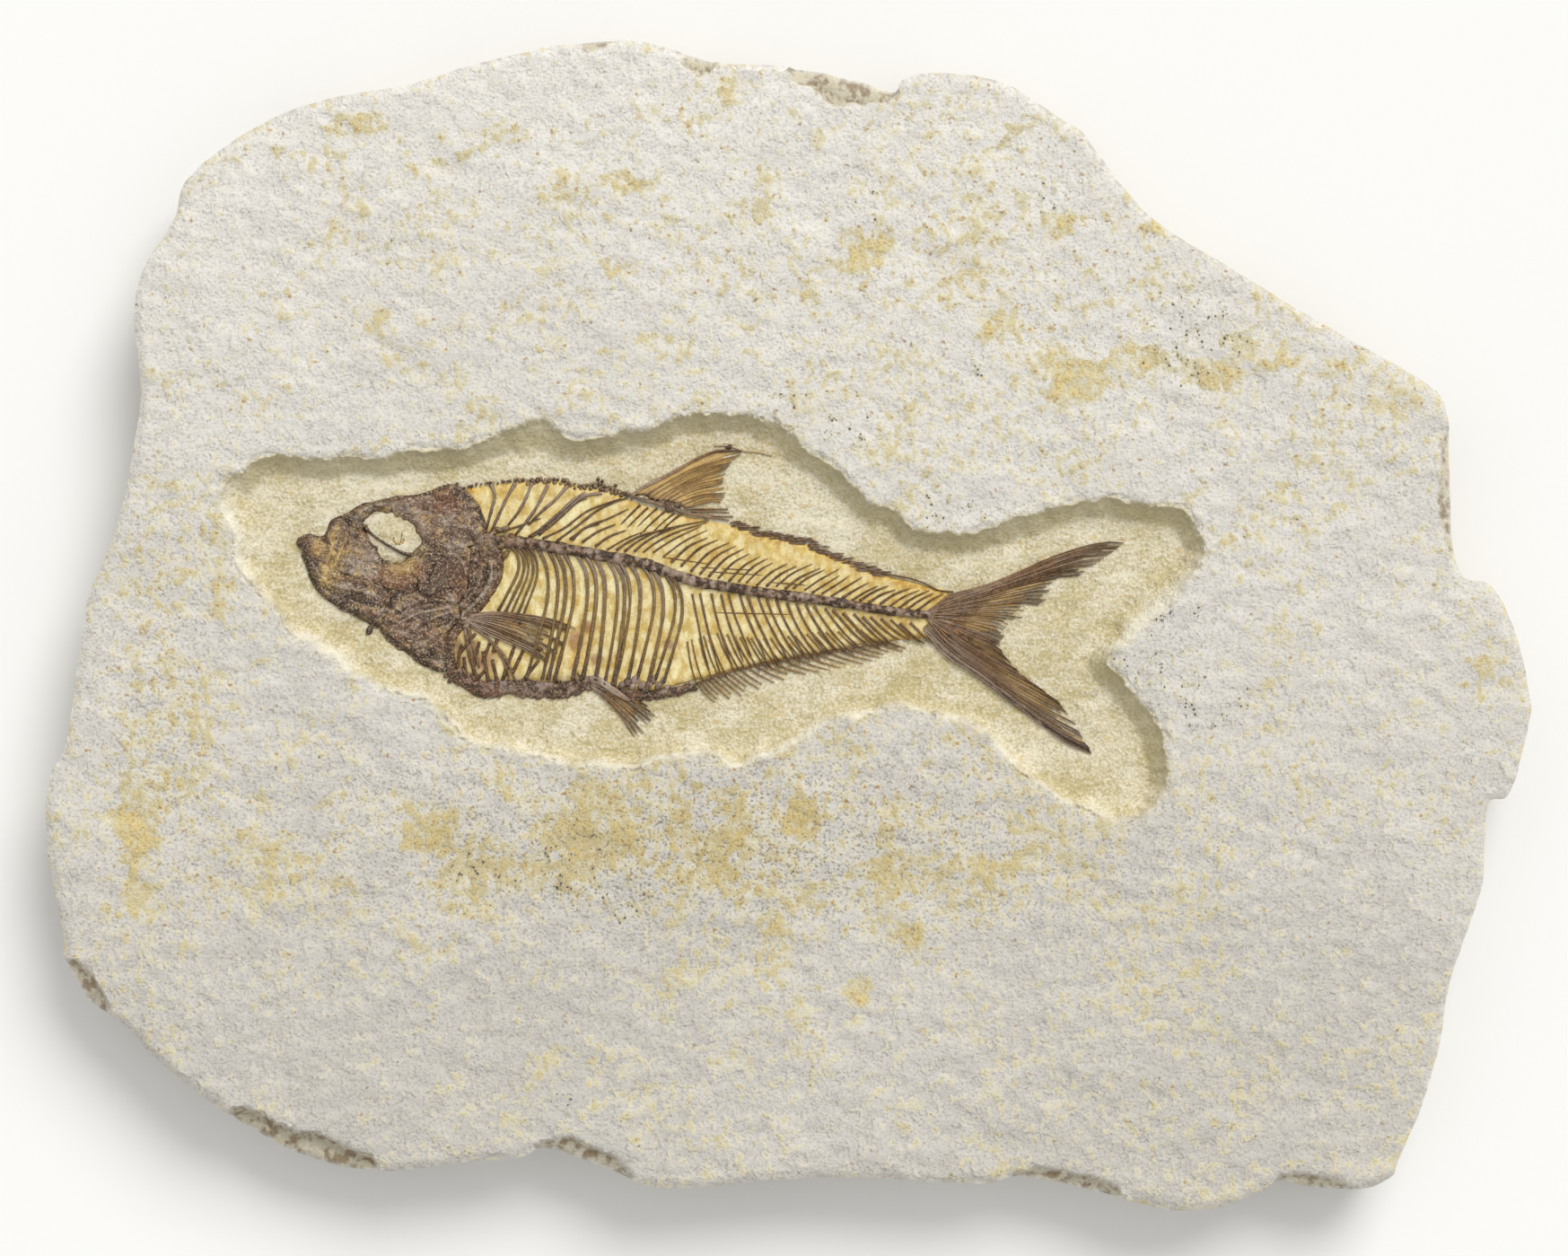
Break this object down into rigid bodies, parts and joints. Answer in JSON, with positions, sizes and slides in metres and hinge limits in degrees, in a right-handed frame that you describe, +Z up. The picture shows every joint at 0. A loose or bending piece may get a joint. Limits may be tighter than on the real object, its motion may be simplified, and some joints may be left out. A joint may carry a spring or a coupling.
{
  "type": "fossil fish slab",
  "caption": "Split limestone slab with a fossil herring, bones and fins in brown relief, lying in a shallow prepared recess; rests on its flat underside.",
  "frame": {"origin": "under the middle of the slab, on the flat face that it lies on", "axes": "+X along the fish from snout to tail, +Y towards the fish's back, +Z up out of the split face"},
  "size_m": [0.2501, 0.197, 0.0165],
  "materials": {
    "limestone": "matt pale grey-cream limestone with ochre stains and fine dark specks",
    "ochre_film": "matt ochre mineral film left by the flesh and skin",
    "head_bone": "satin dark brown fossil bone with purple-grey lights",
    "rib_bone": "satin brown fossil bone with purple-grey lights",
    "scale_bone": "dark brown beaded scutes",
    "fin_bone": "brown fin rays with ochre between them"
  },
  "bodies": {
    "root": {"slab": "limestone", "fish_body": "ochre_film", "skull": "head_bone", "lower_jaw": "head_bone", "throat": "head_bone", "gill_cover": "head_bone", "shoulder_girdle": "head_bone", "backbone": "rib_bone", "back_scutes": "scale_bone", "front_belly_scutes": "scale_bone", "rear_belly_scutes": "scale_bone", "dorsal_fin": "fin_bone", "pectoral_fin": "fin_bone", "pelvic_fin": "fin_bone", "anal_fin": "fin_bone", "tail_fin": "fin_bone"}
  },
  "joints": []
}
